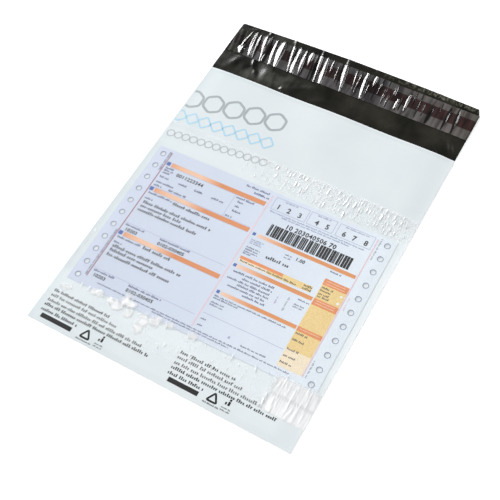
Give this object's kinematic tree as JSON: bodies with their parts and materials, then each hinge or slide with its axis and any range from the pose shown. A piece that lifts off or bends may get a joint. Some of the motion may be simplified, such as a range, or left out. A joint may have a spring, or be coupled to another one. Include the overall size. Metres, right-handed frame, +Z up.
{
  "type": "poly mailer bag with document pouch",
  "caption": "Flat side-welded film mailer bag with a peel-and-seal flap, and a clear document pouch on its front that holds a consignment note.",
  "frame": {"origin": "under the middle of the whole bag, flap included, on the surface that the bag lies on", "axes": "+Z up from the back panel to the front panel, +Y from the bottom fold to the flap, +X to the right across the front"},
  "size_m": [0.2286, 0.3302, 0.0054],
  "materials": {
    "bag_film": "satin",
    "hot_melt": "satin",
    "liner_film": "gloss",
    "clear_film": "gloss",
    "note_paper": "matte"
  },
  "bodies": {
    "root": {"bag_body": "bag_film", "adhesive_strip": "hot_melt", "release_liner": "liner_film", "document_pouch": "clear_film", "consignment_note": "note_paper"}
  },
  "joints": []
}
